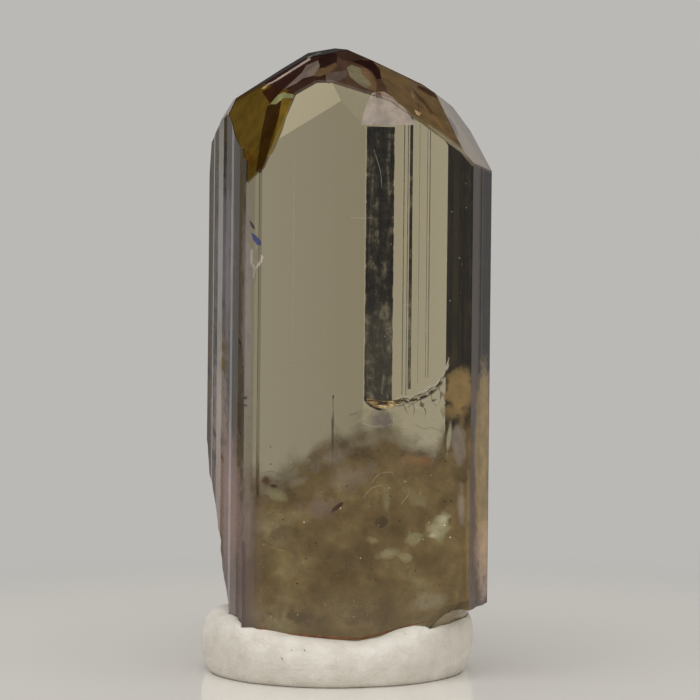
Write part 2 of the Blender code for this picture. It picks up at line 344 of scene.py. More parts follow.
# from and to across the face in X, bottom and top, darkness of the painted shade
BANDS = ((0.61, 1.55, 8.95, 18.20, 1.00), (1.86, 1.89, 9.2, 18.6, 0.60), (1.99, 2.02, 9.2, 18.5, 0.50),
         (2.06, 2.16, 9.4, 18.6, 0.90), (2.36, 2.38, 9.6, 18.4, 0.30), (2.62, 2.64, 9.8, 18.3, 0.45),
         (2.70, 2.73, 9.8, 18.2, 0.50))


def band_sheets():
    """One thin closed sheet per band, with how dark it is and which side is near as attributes."""
    work = bmesh.new()
    darkness = work.verts.layers.float.new("darkness")
    across = work.verts.layers.float.new("across")
    (x_a, y_a), (x_b, y_b) = BACK_FACE
    slope = (y_b - y_a) / (x_b - x_a)
    for x_from, x_to, z_low, z_high, value in BANDS:
        ragged = 1.0 if x_to - x_from > RAGGED_WIDTH else 0.0
        corners = ((x_from, z_low), (x_to, z_low), (x_to, z_high), (x_from, z_high))
        rows = []
        for depth in (BAND_DEPTH, BAND_DEPTH + BAND_THICKNESS):
            row = [work.verts.new(leaning(x, y_a + slope * (x - x_a) - depth, z)) for x, z in corners]
            for vert, side in zip(row, (-1.0, 1.0, 1.0, -1.0)):
                vert[darkness] = value
                vert[across] = side * ragged
            rows.append(row)
        close_body(work, rows)
    return shaped_piece("etched_bands_painted_shade", work)


def band_material():
    """Etched zoisite: dark with painted shade and rough with upright streaks, lighter where it is less
    etched, with a painted glow.
    """
    mat, tree = new_material("etched_zoisite_painted_shade")
    place = node(tree, "ShaderNodeTexCoord").outputs["Object"]
    z = node(tree, "ShaderNodeSeparateXYZ", {0: place}).outputs["Z"]
    upright = node(tree, "ShaderNodeMapping", {"Vector": place, "Scale": (1.0, 1.0, 0.15)})
    streaks = node(tree, "ShaderNodeTexNoise", {
        "Vector": upright, "Scale": per_metre(0.32), "Detail": 6.0, "Roughness": 0.68, "Distortion": 1.0})
    spots = node(tree, "ShaderNodeTexNoise", {
        "Vector": place, "Scale": per_metre(0.35), "Detail": 6.0, "Roughness": 0.75})
    mixed = node(tree, "ShaderNodeMath", {0: streaks, 1: spots}, operation="ADD")
    open_parts = node(tree, "ShaderNodeMapRange", {
        "Value": mixed, "From Min": 0.98, "From Max": 1.20, "To Min": 0.98, "To Max": 0.50})
    # the lower third is a paler grey green
    pale = node(tree, "ShaderNodeMapRange", {
        "Value": z, "From Min": 13.2 * MM, "From Max": 11.2 * MM, "To Min": 1.0, "To Max": 0.72},
        interpolation_type="SMOOTHSTEP")
    # the two sides are ragged
    side = node(tree, "ShaderNodeAttribute", attribute_name="across").outputs["Fac"]
    reach = node(tree, "ShaderNodeMath", {0: side}, operation="ABSOLUTE")
    reach = node(tree, "ShaderNodeMath", {0: spots, 1: 0.3, 2: reach}, operation="MULTIPLY_ADD")
    inner = node(tree, "ShaderNodeMapRange", {"Value": reach, "From Min": 1.16, "From Max": 1.10})
    cover = node(tree, "ShaderNodeAttribute", attribute_name="darkness").outputs["Fac"]
    for share in (open_parts, pale, inner):
        cover = node(tree, "ShaderNodeMath", {0: cover, 1: share}, operation="MULTIPLY")
    halved = node(tree, "ShaderNodeMath", {0: mixed, 1: 0.5}, operation="MULTIPLY")
    colour = node(tree, "ShaderNodeValToRGB", {"Fac": halved}, stops=(
        (0.41, "#2A2621"), (0.50, "#4C463C"), (0.61, "#857D6A")))
    # painted shade and painted glow: a dark colour for the light lost in the etched grooves, and a faint
    # emission
    shader = node(tree, "ShaderNodeBsdfPrincipled", {
        "Base Color": colour, "Roughness": 0.8, "Specular IOR Level": 0.1, "Alpha": cover,
        "Emission Color": colour, "Emission Strength": 0.20})
    node(tree, "ShaderNodeOutputMaterial", {"Surface": shader})
    return mat


bands = band_sheets()
bands.data.materials.append(band_material())
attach(bands, "root")


# The veils
# Healed cracks and clouds of inclusions that stand out from the milky base, painted light and dark
# reflections of the stone's own faces, painted glints along the fracture, and a brown haze under its end
# faces that is partly the stone's colour and partly painted light and shade. They are thin lenses and plates
# just inside the faces, with a faint painted glow.

# X and Z of the middle, half width, half height, turn in degrees, colour, density, edge
VEILS = (
    (1.15, 8.85, 0.46, 0.40, 0, "#94897E", 0.70, 0.8),  # grey violet patch under the flash
    (3.62, 9.92, 0.46, 0.62, -20, "#AC905E", 0.88, 0.85),  # olive brown patch at the right
    (3.76, 9.35, 0.30, 0.95, 6, "#A68A58", 0.85, 0.9),
    (3.50, 9.10, 0.34, 0.50, 24, "#9C8250", 0.75, 1.0),
    (3.76, 8.05, 0.30, 0.95, 4, "#A89A86", 0.80, 0.8),  # violet grey below it
    (3.44, 8.25, 0.10, 0.85, -6, "#C9C2A4", 0.70, 0.8),  # pale upright streak
    (2.35, 7.50, 0.85, 0.24, -6, "#AC8A5C", 0.55, 1.0),  # orange brown patch
    (2.65, 7.48, 0.30, 0.10, -14, "#9A6238", 0.50, 0.9),
    (3.05, 5.15, 0.62, 0.50, 20, "#C4BE98", 0.62, 1.0),  # light greenish patches
    (3.28, 5.50, 0.30, 0.36, -30, "#D8D4B4", 0.62, 1.0),
    (2.92, 4.95, 0.30, 0.18, 10, "#DCDABC", 0.55, 1.0),
    (2.30, 4.85, 0.40, 0.30, 30, "#B8AE80", 0.60, 1.0),
    (1.45, 4.35, 0.50, 0.24, 10, "#B8AE84", 0.62, 1.0),
    (2.05, 4.22, 0.30, 0.20, 0, "#C0B68C", 0.55, 1.0),
    (0.95, 4.80, 0.40, 0.20, -20, "#B0A276", 0.50, 1.0),
    (1.40, 6.10, 0.16, 0.60, 4, "#B6A87C", 0.40, 1.0),
    (2.45, 6.10, 0.50, 0.30, -24, "#B4A678", 0.40, 1.0),
    (3.88, 6.00, 0.18, 0.90, 2, "#B5A68E", 0.60, 0.9),
    (-2.30, 6.30, 0.50, 0.24, -18, "#AFA678", 0.60, 1.0),  # lighter wisps at the left
    (-1.55, 6.75, 0.62, 0.22, 24, "#A0927A", 0.50, 1.0),
    (-2.62, 6.80, 0.17, 0.20, 15, "#6A4A28", 0.85, 0.7),  # brown spot
    (-2.38, 6.62, 0.16, 0.08, 0, "#4A321C", 0.75, 0.7),
    (-0.25, 5.90, 0.30, 0.08, 38, "#5A3824", 0.85, 0.5),  # dark red brown sliver
    (-0.85, 5.90, 0.90, 0.60, 25, "#A08C78", 0.45, 1.0),  # pinkish haze
    (0.25, 6.95, 1.05, 0.55, 18, "#A2917C", 0.45, 1.0),
    (-2.00, 4.95, 0.75, 0.42, -10, "#7C6A48", 0.35, 1.0),  # darker olive patches
    (-0.20, 4.10, 1.10, 0.50, 8, "#826C44", 0.35, 1.0),
    (1.22, 5.40, 0.26, 0.24, 0, "#6A5632", 0.70, 0.8),
    (0.60, 2.95, 2.40, 0.60, 0, "#8E7A50", 0.35, 1.0),
    (-1.60, 2.20, 1.10, 0.36, -8, "#64502F", 0.50, 1.0),
    (0.60, 2.30, 1.50, 0.50, 0, "#7A643E", 0.40, 1.0),
    # the pale splinters along the fracture are painted glints
    (1.72, 9.48, 0.20, 0.045, 8, "#6E5430", 0.95, 0.8),  # splinters along the fracture
    (1.96, 9.46, 0.18, 0.05, -18, "#4E3A20", 0.95, 0.8),
    (2.10, 9.57, 0.14, 0.03, 30, "#D0B888", 0.95, 0.7),
    (2.26, 9.50, 0.22, 0.055, 16, "#5A4424", 0.95, 0.8),
    (2.44, 9.64, 0.18, 0.03, 30, "#B89C68", 0.90, 0.7),
    (2.58, 9.60, 0.22, 0.07, 18, "#4E3A20", 0.95, 0.8),
    (2.74, 9.80, 0.20, 0.035, 26, "#DCCBA0", 0.90, 0.7),
    (2.86, 9.78, 0.22, 0.07, 36, "#584424", 0.95, 0.8),
    (3.00, 10.02, 0.18, 0.04, 46, "#E8DDC0", 0.90, 0.7),
    (3.10, 10.02, 0.22, 0.07, 42, "#604A26", 0.95, 0.8),
    (3.22, 10.32, 0.22, 0.045, 60, "#F0E8D2", 0.90, 0.7),
    (3.29, 10.36, 0.26, 0.06, 64, "#5A4424", 0.90, 0.8),
    (3.38, 10.62, 0.20, 0.04, 70, "#E8DDC0", 0.80, 0.8),
    (-0.42, 8.45, 0.07, 1.15, 0, "#6E6450", 0.60, 1.0),  # fuzzy upright tubes
    (-0.30, 8.20, 0.05, 0.90, 2, "#857A64", 0.45, 1.0),
    (-0.98, 7.50, 0.08, 0.50, 0, "#7A6C58", 0.50, 1.0),
    (-0.45, 7.55, 0.95, 0.42, 24, "#A0917C", 0.50, 1.0),  # pale haze along the top of the milky part
    (0.85, 8.15, 0.90, 0.36, 16, "#A29678", 0.50, 1.0),
    (1.95, 8.20, 0.80, 0.34, -14, "#A69C7E", 0.45, 1.0),
    (-1.90, 6.95, 0.70, 0.26, 20, "#A0947C", 0.40, 1.0),
    (2.10, 9.28, 0.10, 0.05, 60, "#7A6238", 0.70, 1.0),
    (2.52, 9.34, 0.10, 0.10, 0, "#7A6238", 0.60, 1.0),
    (2.92, 9.48, 0.14, 0.06, 20, "#6A5430", 0.70, 1.0),
    (3.18, 9.70, 0.08, 0.18, -10, "#7A6238", 0.60, 1.0),
    (2.90, 2.75, 0.90, 0.36, 14, "#B0A484", 0.50, 1.0),
)
# the same for patches right under whatever face is seen there, many of them painted light, shade and
# reflections that the faces show; X and Z are those of the line of sight where it passes the crystal's axis
FACE_VEILS = (
    (3.86, 9.40, 0.62, 0.98, -8, "#AC925E", 0.88, 0.75),  # olive brown light round the right edge
    (1.91, 19.45, 0.60, 0.16, -56, "#A4876A", 0.60, 1.0),  # streaks in the brown right faces
    (2.70, 18.95, 0.90, 0.08, -52, "#6A4E2C", 0.80, 0.7),
    (2.95, 18.62, 0.90, 0.07, -55, "#B49468", 0.60, 0.8),
    (2.30, 19.07, 0.05, 0.46, 14, "#D0C09C", 0.80, 0.5),  # pale line between two of them
    (3.58, 18.27, 0.08, 0.47, 26, "#5A2018", 0.90, 0.5),  # dark red sliver
    (3.44, 17.80, 1.13, 0.09, -38, "#B4AA92", 0.80, 0.6),  # pale bevel along the front face
    (2.75, 19.44, 0.53, 0.10, -31, "#5A3A26", 0.85, 0.6),  # dark olive band under the roof edge
    (-3.20, 17.30, 0.20, 0.60, 12, "#7A5424", 0.50, 1.0),  # brown tip of the shield
    (4.09, 4.60, 0.15, 2.60, 0, "#A08A5C", 0.85, 0.6),  # cloudy stone along the right front edge
    (4.66, 3.90, 0.40, 2.10, 0, "#F6EAC4", 0.85, 0.9),  # pale light low in the right flank
    (4.63, 6.80, 0.36, 4.10, 0, "#DCCE86", 0.90, 0.35),  # olive light above it
    (-3.12, 14.95, 0.05, 0.18, 30, "#5A4A48", 0.80, 0.6),  # dark top of the chip
    (-3.39, 9.15, 0.13, 0.05, 0, "#4E463E", 0.85, 0.9),  # smudges on the left flank
    (-3.37, 8.90, 0.12, 0.04, 0, "#5A5048", 0.70, 0.9),
    (-4.22, 8.74, 0.34, 2.60, 0, "#B8A79C", 0.62, 1.0),  # lilac light in the left flank
    (-4.05, 13.60, 0.42, 4.20, 0, "#B2A8B2", 0.30, 1.0),
    (-3.29, 12.20, 0.24, 5.00, 0, "#B8ACA6", 0.40, 0.8),  # pinkish grey light in the narrow bevel
    (-3.29, 5.60, 0.24, 2.60, 0, "#AC9C8E", 0.40, 0.8),
    (-3.90, 5.90, 0.58, 3.20, 3, "#AC9080", 0.72, 0.9),
)
# reflections of the stone's own faces with straight sides, seen through the end faces: colour,
# density, and the X and Z of the outline along the line of sight
FACE_PLATES = (
    # purple brown of the crown
    ("#5A4038", 0.60, (-0.39, 20.76), (0.28, 20.86), (0.81, 20.59), (0.21, 20.45), (-0.12, 20.52)),
    # darker red left of it
    ("#3E2420", 0.70, (-0.92, 20.52), (-0.66, 20.79), (-0.26, 20.79), (-0.29, 20.45), (-0.69, 20.22),
     (-0.85, 20.25)),
    # dark red in the crown
    ("#3C1C16", 0.85, (0.21, 20.45), (0.41, 20.52), (0.88, 20.49), (1.15, 20.18), (1.18, 19.88),
     (1.04, 19.85), (0.88, 20.12), (0.55, 20.32)),
    # light greenish grey
    ("#A9A78C", 0.85, (0.04, 20.25), (0.21, 20.35), (0.48, 20.25), (0.51, 20.05), (0.88, 19.68),
     (0.68, 19.54), (0.41, 19.71), (0.14, 19.95)),
    # tan
    ("#A08866", 0.85, (0.48, 20.25), (0.71, 20.22), (0.95, 19.92), (1.04, 19.71), (1.01, 19.44),
     (0.74, 19.51), (0.55, 19.85)),
    # tan at the left
    ("#98805E", 0.85, (-1.09, 19.95), (-0.92, 20.18), (-0.39, 20.42), (-0.26, 20.32), (-0.52, 20.08),
     (-0.85, 19.95)),
    # grey pink
    ("#8E8278", 0.85, (-0.66, 20.05), (0.04, 20.15), (0.04, 19.95), (-0.26, 19.78), (-0.59, 19.68),
     (-0.66, 19.85)),
    # dark red brown band
    ("#4E2C22", 0.80, (-2.79, 19.44), (-1.52, 20.12), (-1.39, 20.25), (-1.66, 19.92), (-2.06, 19.65),
     (-2.29, 19.34), (-2.52, 19.04), (-2.62, 19.21)),
    # brown band
    ("#5E4030", 0.80, (-1.99, 19.38), (-1.66, 19.68), (-1.35, 19.85), (-0.92, 19.95), (-0.92, 19.85),
     (-1.42, 19.54), (-1.75, 19.34)),
    # grey pink streak
    ("#ACA298", 0.85, (-2.06, 19.51), (-1.46, 20.08), (-1.32, 20.32), (-0.92, 20.49), (-0.82, 20.35),
     (-1.05, 19.98), (-1.42, 19.88), (-1.66, 19.71)),
    # thin white line
    ("#E6E2DA", 0.90, (-2.82, 19.54), (-2.72, 19.54), (-0.79, 20.76), (-0.89, 20.79)),
    # greenish white sliver
    ("#BEC8B4", 0.90, (-2.52, 19.01), (-2.29, 19.31), (-2.06, 19.41), (-1.75, 19.34), (-1.79, 19.21),
     (-2.09, 19.21), (-2.32, 19.01)),
    # yellow stripe of the shield
    ("#A08A44", 0.90, (-2.12, 19.17), (-1.82, 19.21), (-1.89, 18.84), (-2.09, 18.13), (-2.42, 17.36),
     (-2.59, 17.22), (-2.39, 17.83), (-2.22, 18.64)),
    # dark streak of the shield
    ("#4A3219", 0.72, (-2.62, 18.94), (-2.49, 19.01), (-2.15, 19.14), (-2.25, 18.57), (-2.46, 17.90),
     (-2.65, 17.22), (-2.82, 16.68), (-2.99, 16.75), (-2.89, 17.49), (-2.79, 18.16)),
    # pinkish light on the front face
    ("#CEC2B6", 0.75, (0.51, 18.30), (0.61, 18.77), (0.88, 19.41), (1.28, 19.44), (1.58, 19.24),
     (1.98, 18.84), (2.35, 18.30)),
    # brown wisp in it
    ("#8E7464", 0.60, (1.01, 19.41), (1.18, 19.41), (1.25, 19.04), (1.15, 18.60), (1.01, 18.74)),
    # chip on the left front edge
    ("#A89E90", 0.45, (-3.12, 14.26), (-2.96, 14.19), (-2.82, 13.99), (-2.89, 13.72), (-2.82, 13.55),
     (-2.99, 13.39), (-3.02, 12.98), (-3.12, 13.12), (-3.09, 13.59), (-3.19, 13.79)),
    # pale ragged rims of the chip, painted glints on its broken edges
    ("#E6DED0", 0.85, (-3.15, 14.16), (-3.09, 14.06), (-3.12, 13.79), (-3.02, 13.52), (-3.06, 13.12),
     (-3.09, 13.25), (-3.12, 13.52), (-3.19, 13.79)),
    # a second rim, also a painted glint
    ("#EDE6D8", 0.85, (-2.85, 13.96), (-2.72, 13.89), (-2.79, 13.72), (-2.92, 13.55), (-3.02, 13.32),
     (-3.06, 13.42), (-2.96, 13.62), (-2.85, 13.79)),
    # blue violet flash above it
    ("#5A6290", 0.85, (-3.15, 14.70), (-2.99, 14.60), (-2.82, 14.40), (-2.82, 14.26), (-2.96, 14.29),
     (-3.09, 14.46)),
)
# colour and density of a haze under whole end faces, by dip and compass direction; partly the stone's brown
# and partly painted light and shade that the end faces show
FACE_HAZES = (
    ((22, 182), "#52382E", 0.72), ((27, 142), "#7C6450", 0.80), ((45, 104), "#A08A6C", 0.88),
    ((38, 110), "#9A835C", 0.88), ((50, 97), "#B8A590", 0.35), ((35, 236), "#52322A", 0.72),
    ((31, 279), "#4A2A22", 0.70), ((74, 222), "#786632", 0.70), ((66, 238), "#88733C", 0.75),
)
VEIL_Y = -2.955
VEIL_STEP = 0.0012          # each veil lies a little behind the one before
VEIL_HALF_THICKNESS = 0.02
# strength of the painted glow of the veils and of the painted light, shade and reflections
VEIL_PAINTED_GLOW = 0.35
FACE_VEIL_DEPTH = 0.05
LEAST_DEPTH = 0.02          # nothing lies nearer to the outside than this
PLATE_LIFT = 0.02           # plates lie this much nearer to the face than the veils
PLATE_THICKNESS = 0.006
PLATE_EDGE = 0.2            # softness of the outline of plates and hazes
PLATE_CUTS = 4
HAZE_DEPTH = 0.09
HAZE_THICKNESS = 0.02
SIGHT = Vector(direction(0.0, -8.0))     # the way that the stone is looked at
SIGHT_START = 50.0          # how far in front of the stone a line of sight starts
SIGHT_TRIES = 40            # steps towards the middle of a patch, where its rim misses the stone


def place_on_front(x, z, middle, order):
    """A place just behind the front face, and the way to the inside."""
    return leaning(x, VEIL_Y + order * VEIL_STEP, z), Vector((0.0, 1.0, 0.0))


def place_under_face(x, z, middle, order):
    """The place under the face that a line of sight meets; past the outline, the nearest one."""
    for step in range(SIGHT_TRIES):
        spot = Vector((x, 0.0, z)).lerp(Vector((middle[0], 0.0, middle[1])), step / SIGHT_TRIES)
        hit, found, normal, _ = crystal.ray_cast((spot - SIGHT * SIGHT_START) * MM, SIGHT)
        if hit:
            depth = FACE_VEIL_DEPTH + order * VEIL_STEP
            return found - normal * depth * MM, -normal
    raise ValueError("no face in sight")


def kept_inside(spot):
    """The spot itself, or where it lies too near the outside, the nearest place under a face."""
    _, nearest, normal, _ = crystal.closest_point_on_mesh(spot)
    if (spot - nearest).dot(normal) > -LEAST_DEPTH * MM:
        return nearest - normal * LEAST_DEPTH * MM
    return spot


def veil_layers(work):
    """Layers for colour with density, softness of the edge, and share of the radius."""
    layers = work.verts.layers
    return layers.float_color.new("veil_tint"), layers.float.new("veil_edge"), layers.float.new("veil_radius")


def paint(vert, layers, colour, density, soft, share=0.0):
    """Give a point its values in those layers."""
    for layer, value in zip(layers, ((*linear(colour)[:3], density), soft, share)):
        vert[layer] = value


def face_hazes():
    """Thin closed plates right under whole end faces."""
    work = bmesh.new()
    layers = veil_layers(work)
    mesh = crystal.data
    for (dip, compass), colour, density in FACE_HAZES:
        inward = -Vector(direction(compass, 90 - dip))
        faces = [list(polygon.vertices) for polygon in faces_towards(mesh, dip, compass)]
        used = {v for corners in faces for v in corners}
        near, far = ({v: work.verts.new(kept_inside(mesh.vertices[v].co + inward * depth * MM)) for v in used}
                     for depth in (HAZE_DEPTH, HAZE_DEPTH + HAZE_THICKNESS))
        for vert in (*near.values(), *far.values()):
            paint(vert, layers, colour, density, PLATE_EDGE)
        ways = set()
        for corners in faces:
            work.faces.new([near[v] for v in corners])
            work.faces.new([far[v] for v in corners[::-1]])
            ways.update(zip(corners, corners[1:] + corners[:1]))
        for a, b in sorted(ways):
            if (b, a) not in ways:
                work.faces.new((near[b], near[a], far[a], far[b]))
    return shaped_piece("end_face_haze_and_painted_light", work)


def sight_plates(name, plates):
    """Thin closed plates with straight sides, right under the faces that they are seen through."""
    work = bmesh.new()
    layers = veil_layers(work)
    for order, (colour, density, *outline) in enumerate(plates):
        flat = bmesh.new()
        flat.faces.new([flat.verts.new((x, 0.0, z)) for x, z in outline])
        bmesh.ops.triangulate(flat, faces=flat.faces)
        bmesh.ops.subdivide_edges(flat, edges=flat.edges, cuts=PLATE_CUTS, use_grid_fill=True)
        flat.verts.index_update()
        middle = [sum(values) / len(outline) for values in zip(*outline)]
        near = []
        far = []
        for vert in flat.verts:
            spot, inward = place_under_face(vert.co.x, vert.co.z, middle, order)
            for side, lift in ((near, PLATE_LIFT), (far, PLATE_LIFT - PLATE_THICKNESS)):
                side.append(work.verts.new(kept_inside(spot - inward * lift * MM)))
                paint(side[-1], layers, colour, density, PLATE_EDGE)
        for face in flat.faces:
            corners = [vert.index for vert in face.verts]
            work.faces.new([near[i] for i in corners])
            work.faces.new([far[i] for i in corners[::-1]])
        for side in flat.edges:
            if len(side.link_faces) == 1:
                i, j = (vert.index for vert in side.verts)
                work.faces.new((near[i], near[j], far[j], far[i]))
        flat.free()
    bmesh.ops.recalc_face_normals(work, faces=work.faces)
    return shaped_piece(name, work)


def veil_lenses(name, veils, place_at, rings, turns):
    """Thin closed lenses with their colour, density and edge as attributes."""
    work = bmesh.new()
    layers = veil_layers(work)
    for order, (x, z, half_width, half_height, turn, colour, density, soft) in enumerate(veils):
        cos_turn = math.cos(math.radians(turn))
        sin_turn = math.sin(math.radians(turn))

        def place(share, step, side):
            across = share * half_width * math.cos(math.tau * step / turns)
            up = share * half_height * math.sin(math.tau * step / turns)
            spot, inward = place_at(x + across * cos_turn - up * sin_turn,
                                    z + across * sin_turn + up * cos_turn, (x, z), order)
            bulge = side * VEIL_HALF_THICKNESS * math.sqrt(1.0 - share * share)
            vert = work.verts.new(kept_inside(spot + inward * bulge * MM))
            paint(vert, layers, colour, density, soft, share)
            return vert

        rim = [place(1.0, i, 0.0) for i in range(turns)]
        for side in (-1.0, 1.0):
            rows = [[place(ring / rings, i, side) for i in range(turns)] for ring in range(1, rings)] + [rim]
            middle = place(0.0, 0, side)
            for i in range(turns):
                j = (i + 1) % turns
                faces = [(middle, rows[0][i], rows[0][j])]
                faces += [(inner[i], outer[i], outer[j], inner[j]) for inner, outer in zip(rows, rows[1:])]
                for face in faces:
                    work.faces.new(face if side < 0.0 else face[::-1])
    return shaped_piece(name, work)


def veil_and_painted_light_material():
    """Veils of fine fluid inclusions, and painted light, shade and reflections under the faces: dull, uneven,
    thinning out to nothing at the rim, with a painted glow.
    """
    mat, tree = new_material("veils_and_painted_light")
    place = node(tree, "ShaderNodeTexCoord").outputs["Object"]
    tint = node(tree, "ShaderNodeAttribute", attribute_name="veil_tint")
    edge = node(tree, "ShaderNodeAttribute", attribute_name="veil_edge").outputs["Fac"]
    radius = node(tree, "ShaderNodeAttribute", attribute_name="veil_radius").outputs["Fac"]
    ragged = node(tree, "ShaderNodeTexNoise", {
        "Vector": place, "Scale": per_metre(0.5), "Detail": 6.0, "Roughness": 0.65})
    # the rim wanders in and out by up to half the radius, and not at all on a firm edge
    wander = node(tree, "ShaderNodeMath", {0: edge, 1: 2.4}, operation="MULTIPLY")
    uneven = node(tree, "ShaderNodeMath", {0: ragged, 1: 0.5}, operation="SUBTRACT")
    outward = node(tree, "ShaderNodeMath", {0: uneven, 1: wander, 2: radius}, operation="MULTIPLY_ADD")
    inner = node(tree, "ShaderNodeMath", {0: edge, 1: -0.9, 2: 0.98}, operation="MULTIPLY_ADD")
    cover = node(tree, "ShaderNodeMapRange", {"Value": outward, "From Min": 0.98, "From Max": inner},
                 interpolation_type="SMOOTHSTEP")
    alpha = node(tree, "ShaderNodeMath", {0: cover, 1: tint.outputs["Alpha"]}, operation="MULTIPLY")
    shade = node(tree, "ShaderNodeMapRange", {
        "Value": ragged, "From Min": 0.3, "From Max": 0.7, "To Min": 0.7, "To Max": 1.25})
    colour = node(tree, "ShaderNodeVectorMath", {0: tint.outputs["Color"], "Scale": shade}, operation="SCALE")
    shader = node(tree, "ShaderNodeBsdfPrincipled", {
        "Base Color": colour, "Roughness": 1.0, "Specular IOR Level": 0.0, "Alpha": alpha,
        "Emission Color": colour, "Emission Strength": VEIL_PAINTED_GLOW})
    node(tree, "ShaderNodeOutputMaterial", {"Surface": shader})
    return mat


veil_and_painted_light_look = veil_and_painted_light_material()
for sheet in (veil_lenses("healed_veils", VEILS, place_on_front, rings=5, turns=28),
              veil_lenses("face_veils_and_painted_light", FACE_VEILS, place_under_face, rings=12, turns=48),
              sight_plates("face_reflections", FACE_PLATES),
              face_hazes()):
    sheet.data.materials.append(veil_and_painted_light_look)
    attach(sheet, "root")


# The cracks and tubes
# Fine open cracks, thin dark tubes and a ragged fracture inside the stone; the pale cracks are white with a
# painted reflection and a painted glow. Each is a thread of its own thickness that follows a path just behind
# the front face.

# thickness, then X and Z of the points along the path
DARK_THREADS = (
    (0.055, (-0.42, 9.66), (-0.42, 9.58), (-0.43, 9.48)),
    (0.014, (-0.43, 9.48), (-0.41, 8.90), (-0.44, 8.40), (-0.41, 7.90), (-0.43, 7.20)),
    (0.015, (-2.74, 7.05), (-2.45, 7.10), (-2.10, 6.96), (-1.85, 6.90)),
    (0.013, (-2.30, 6.74), (-2.05, 6.82), (-1.90, 6.72)),
    (0.014, (-2.74, 4.80), (-2.40, 4.62), (-2.05, 4.52), (-1.80, 4.47)),
    (0.012, (-2.60, 5.55), (-2.35, 5.72), (-2.15, 5.74), (-1.95, 5.66)),
    (0.034, (1.56, 9.50), (1.75, 9.44), (1.98, 9.56), (2.14, 9.50), (2.35, 9.66), (2.62, 9.72), (2.84, 9.90),
     (3.05, 10.02), (3.18, 10.26), (3.34, 10.58), (3.42, 10.76)),
    (0.026, (1.60, 9.34), (1.84, 9.30), (2.02, 9.42), (2.22, 9.36), (2.50, 9.56), (2.76, 9.64), (3.04, 9.86),
     (3.26, 10.06)),
    (0.024, (1.66, 9.42), (1.90, 9.58), (2.06, 9.44), (2.30, 9.56), (2.44, 9.48), (2.70, 9.80), (2.92, 9.76),
     (3.12, 10.10), (3.24, 10.16)),
    (0.024, (1.82, 9.52), (1.96, 9.24), (2.08, 9.02)),
    (0.018, (2.16, 9.50), (2.28, 9.22), (2.24, 8.98)),
    (0.022, (2.46, 9.64), (2.52, 9.34), (2.66, 9.14), (2.62, 8.92)),
    (0.018, (2.84, 9.84), (2.86, 9.52), (3.02, 9.26)),
    (0.018, (3.06, 9.98), (3.16, 9.66), (3.10, 9.36)),
    (0.016, (3.30, 10.3), (3.38, 9.90), (3.30, 9.50), (3.42, 9.10)),
    (0.012, (2.30, 8.70), (2.60, 8.52), (2.86, 8.58), (3.10, 8.46)),
    (0.012, (0.10, 9.00), (0.30, 9.04), (0.44, 9.12)),
    (0.014, (1.10, 6.00), (1.22, 6.24), (1.40, 6.38), (1.62, 6.42)),
    (0.016, (-0.52, 5.66), (-0.30, 5.84), (-0.10, 6.04), (0.04, 6.10)),
)
PALE_THREADS = (
    (0.018, (0.60, 8.72), (0.88, 8.62), (1.20, 8.60), (1.46, 8.66), (1.60, 8.84), (1.62, 9.02)),
    (0.026, (1.66, 9.56), (1.96, 9.62), (2.24, 9.60), (2.46, 9.78), (2.72, 9.84), (2.94, 10.02)),
    (0.045, (3.02, 10.08), (3.14, 10.20), (3.26, 10.42), (3.36, 10.70), (3.42, 10.94)),
    (0.022, (1.94, 9.40), (2.10, 9.48), (2.20, 9.44)),
    (0.022, (2.40, 9.52), (2.56, 9.62), (2.64, 9.60)),
    (0.030, (2.60, 9.86), (2.76, 9.96), (2.96, 10.04)),
    (0.018, (2.28, 9.30), (2.40, 9.22), (2.54, 9.26)),
    (0.016, (2.86, 9.44), (3.00, 9.36), (3.06, 9.44)),
    (0.016, (2.66, 8.98), (2.84, 8.90), (3.00, 8.98)),
    (0.014, (1.02, 8.96), (1.10, 9.04), (1.16, 8.98)),
    (0.010, (0.90, 6.72), (1.10, 6.98), (1.40, 7.08), (1.70, 7.02)),
    (0.010, (0.60, 6.20), (0.82, 6.48), (1.10, 6.62), (1.44, 6.66)),
    (0.010, (1.86, 6.00), (2.10, 6.30), (2.16, 6.66)),
    (0.012, (2.60, 8.30), (2.90, 8.20), (3.14, 8.06)),
    (0.012, (0.10, 15.62), (0.55, 15.60), (0.80, 15.62)),
    (0.005, (-1.80, 17.6), (-1.80, 15.5), (-1.80, 13.0), (-1.80, 11.5)),
    (0.010, (0.84, 17.9), (1.06, 17.2), (1.12, 16.6)),
)
THREAD_Y = -2.93
THREAD_WAVER = 0.015        # every second point lies this much deeper
# the brown line where the putty meets the front face
SEAM_THREADS = (
    (0.060, (-2.80, 1.84), (-2.40, 1.76), (-1.85, 1.64), (-0.80, 1.56), (0.37, 1.49), (0.95, 1.58),
     (1.48, 1.73), (2.15, 1.92), (2.50, 2.00), (2.85, 2.08)),
)
SEAM_Y = -3.06


def new_geometry_tree(name, **sizes):
    """A Geometry Nodes tree with named inputs for its sizes, and the node that hands them in."""
    tree = bpy.data.node_groups.new(name, "GeometryNodeTree")
    for socket, kind in (("Geometry", "NodeSocketGeometry"), *sizes.items()):
        tree.interface.new_socket(socket, in_out="INPUT", socket_type=kind)
    tree.interface.new_socket("Geometry", in_out="OUTPUT", socket_type="NodeSocketGeometry")
    return tree, node(tree, "NodeGroupInput")


def end_geometry_tree(tree, geometry, mat):
    """End a tree with real, not instanced, geometry of one material."""
    real = node(tree, "GeometryNodeRealizeInstances", {"Geometry": geometry})
    painted = node(tree, "GeometryNodeSetMaterial", {"Geometry": real, "Material": mat})
    node(tree, "NodeGroupOutput", {"Geometry": painted})


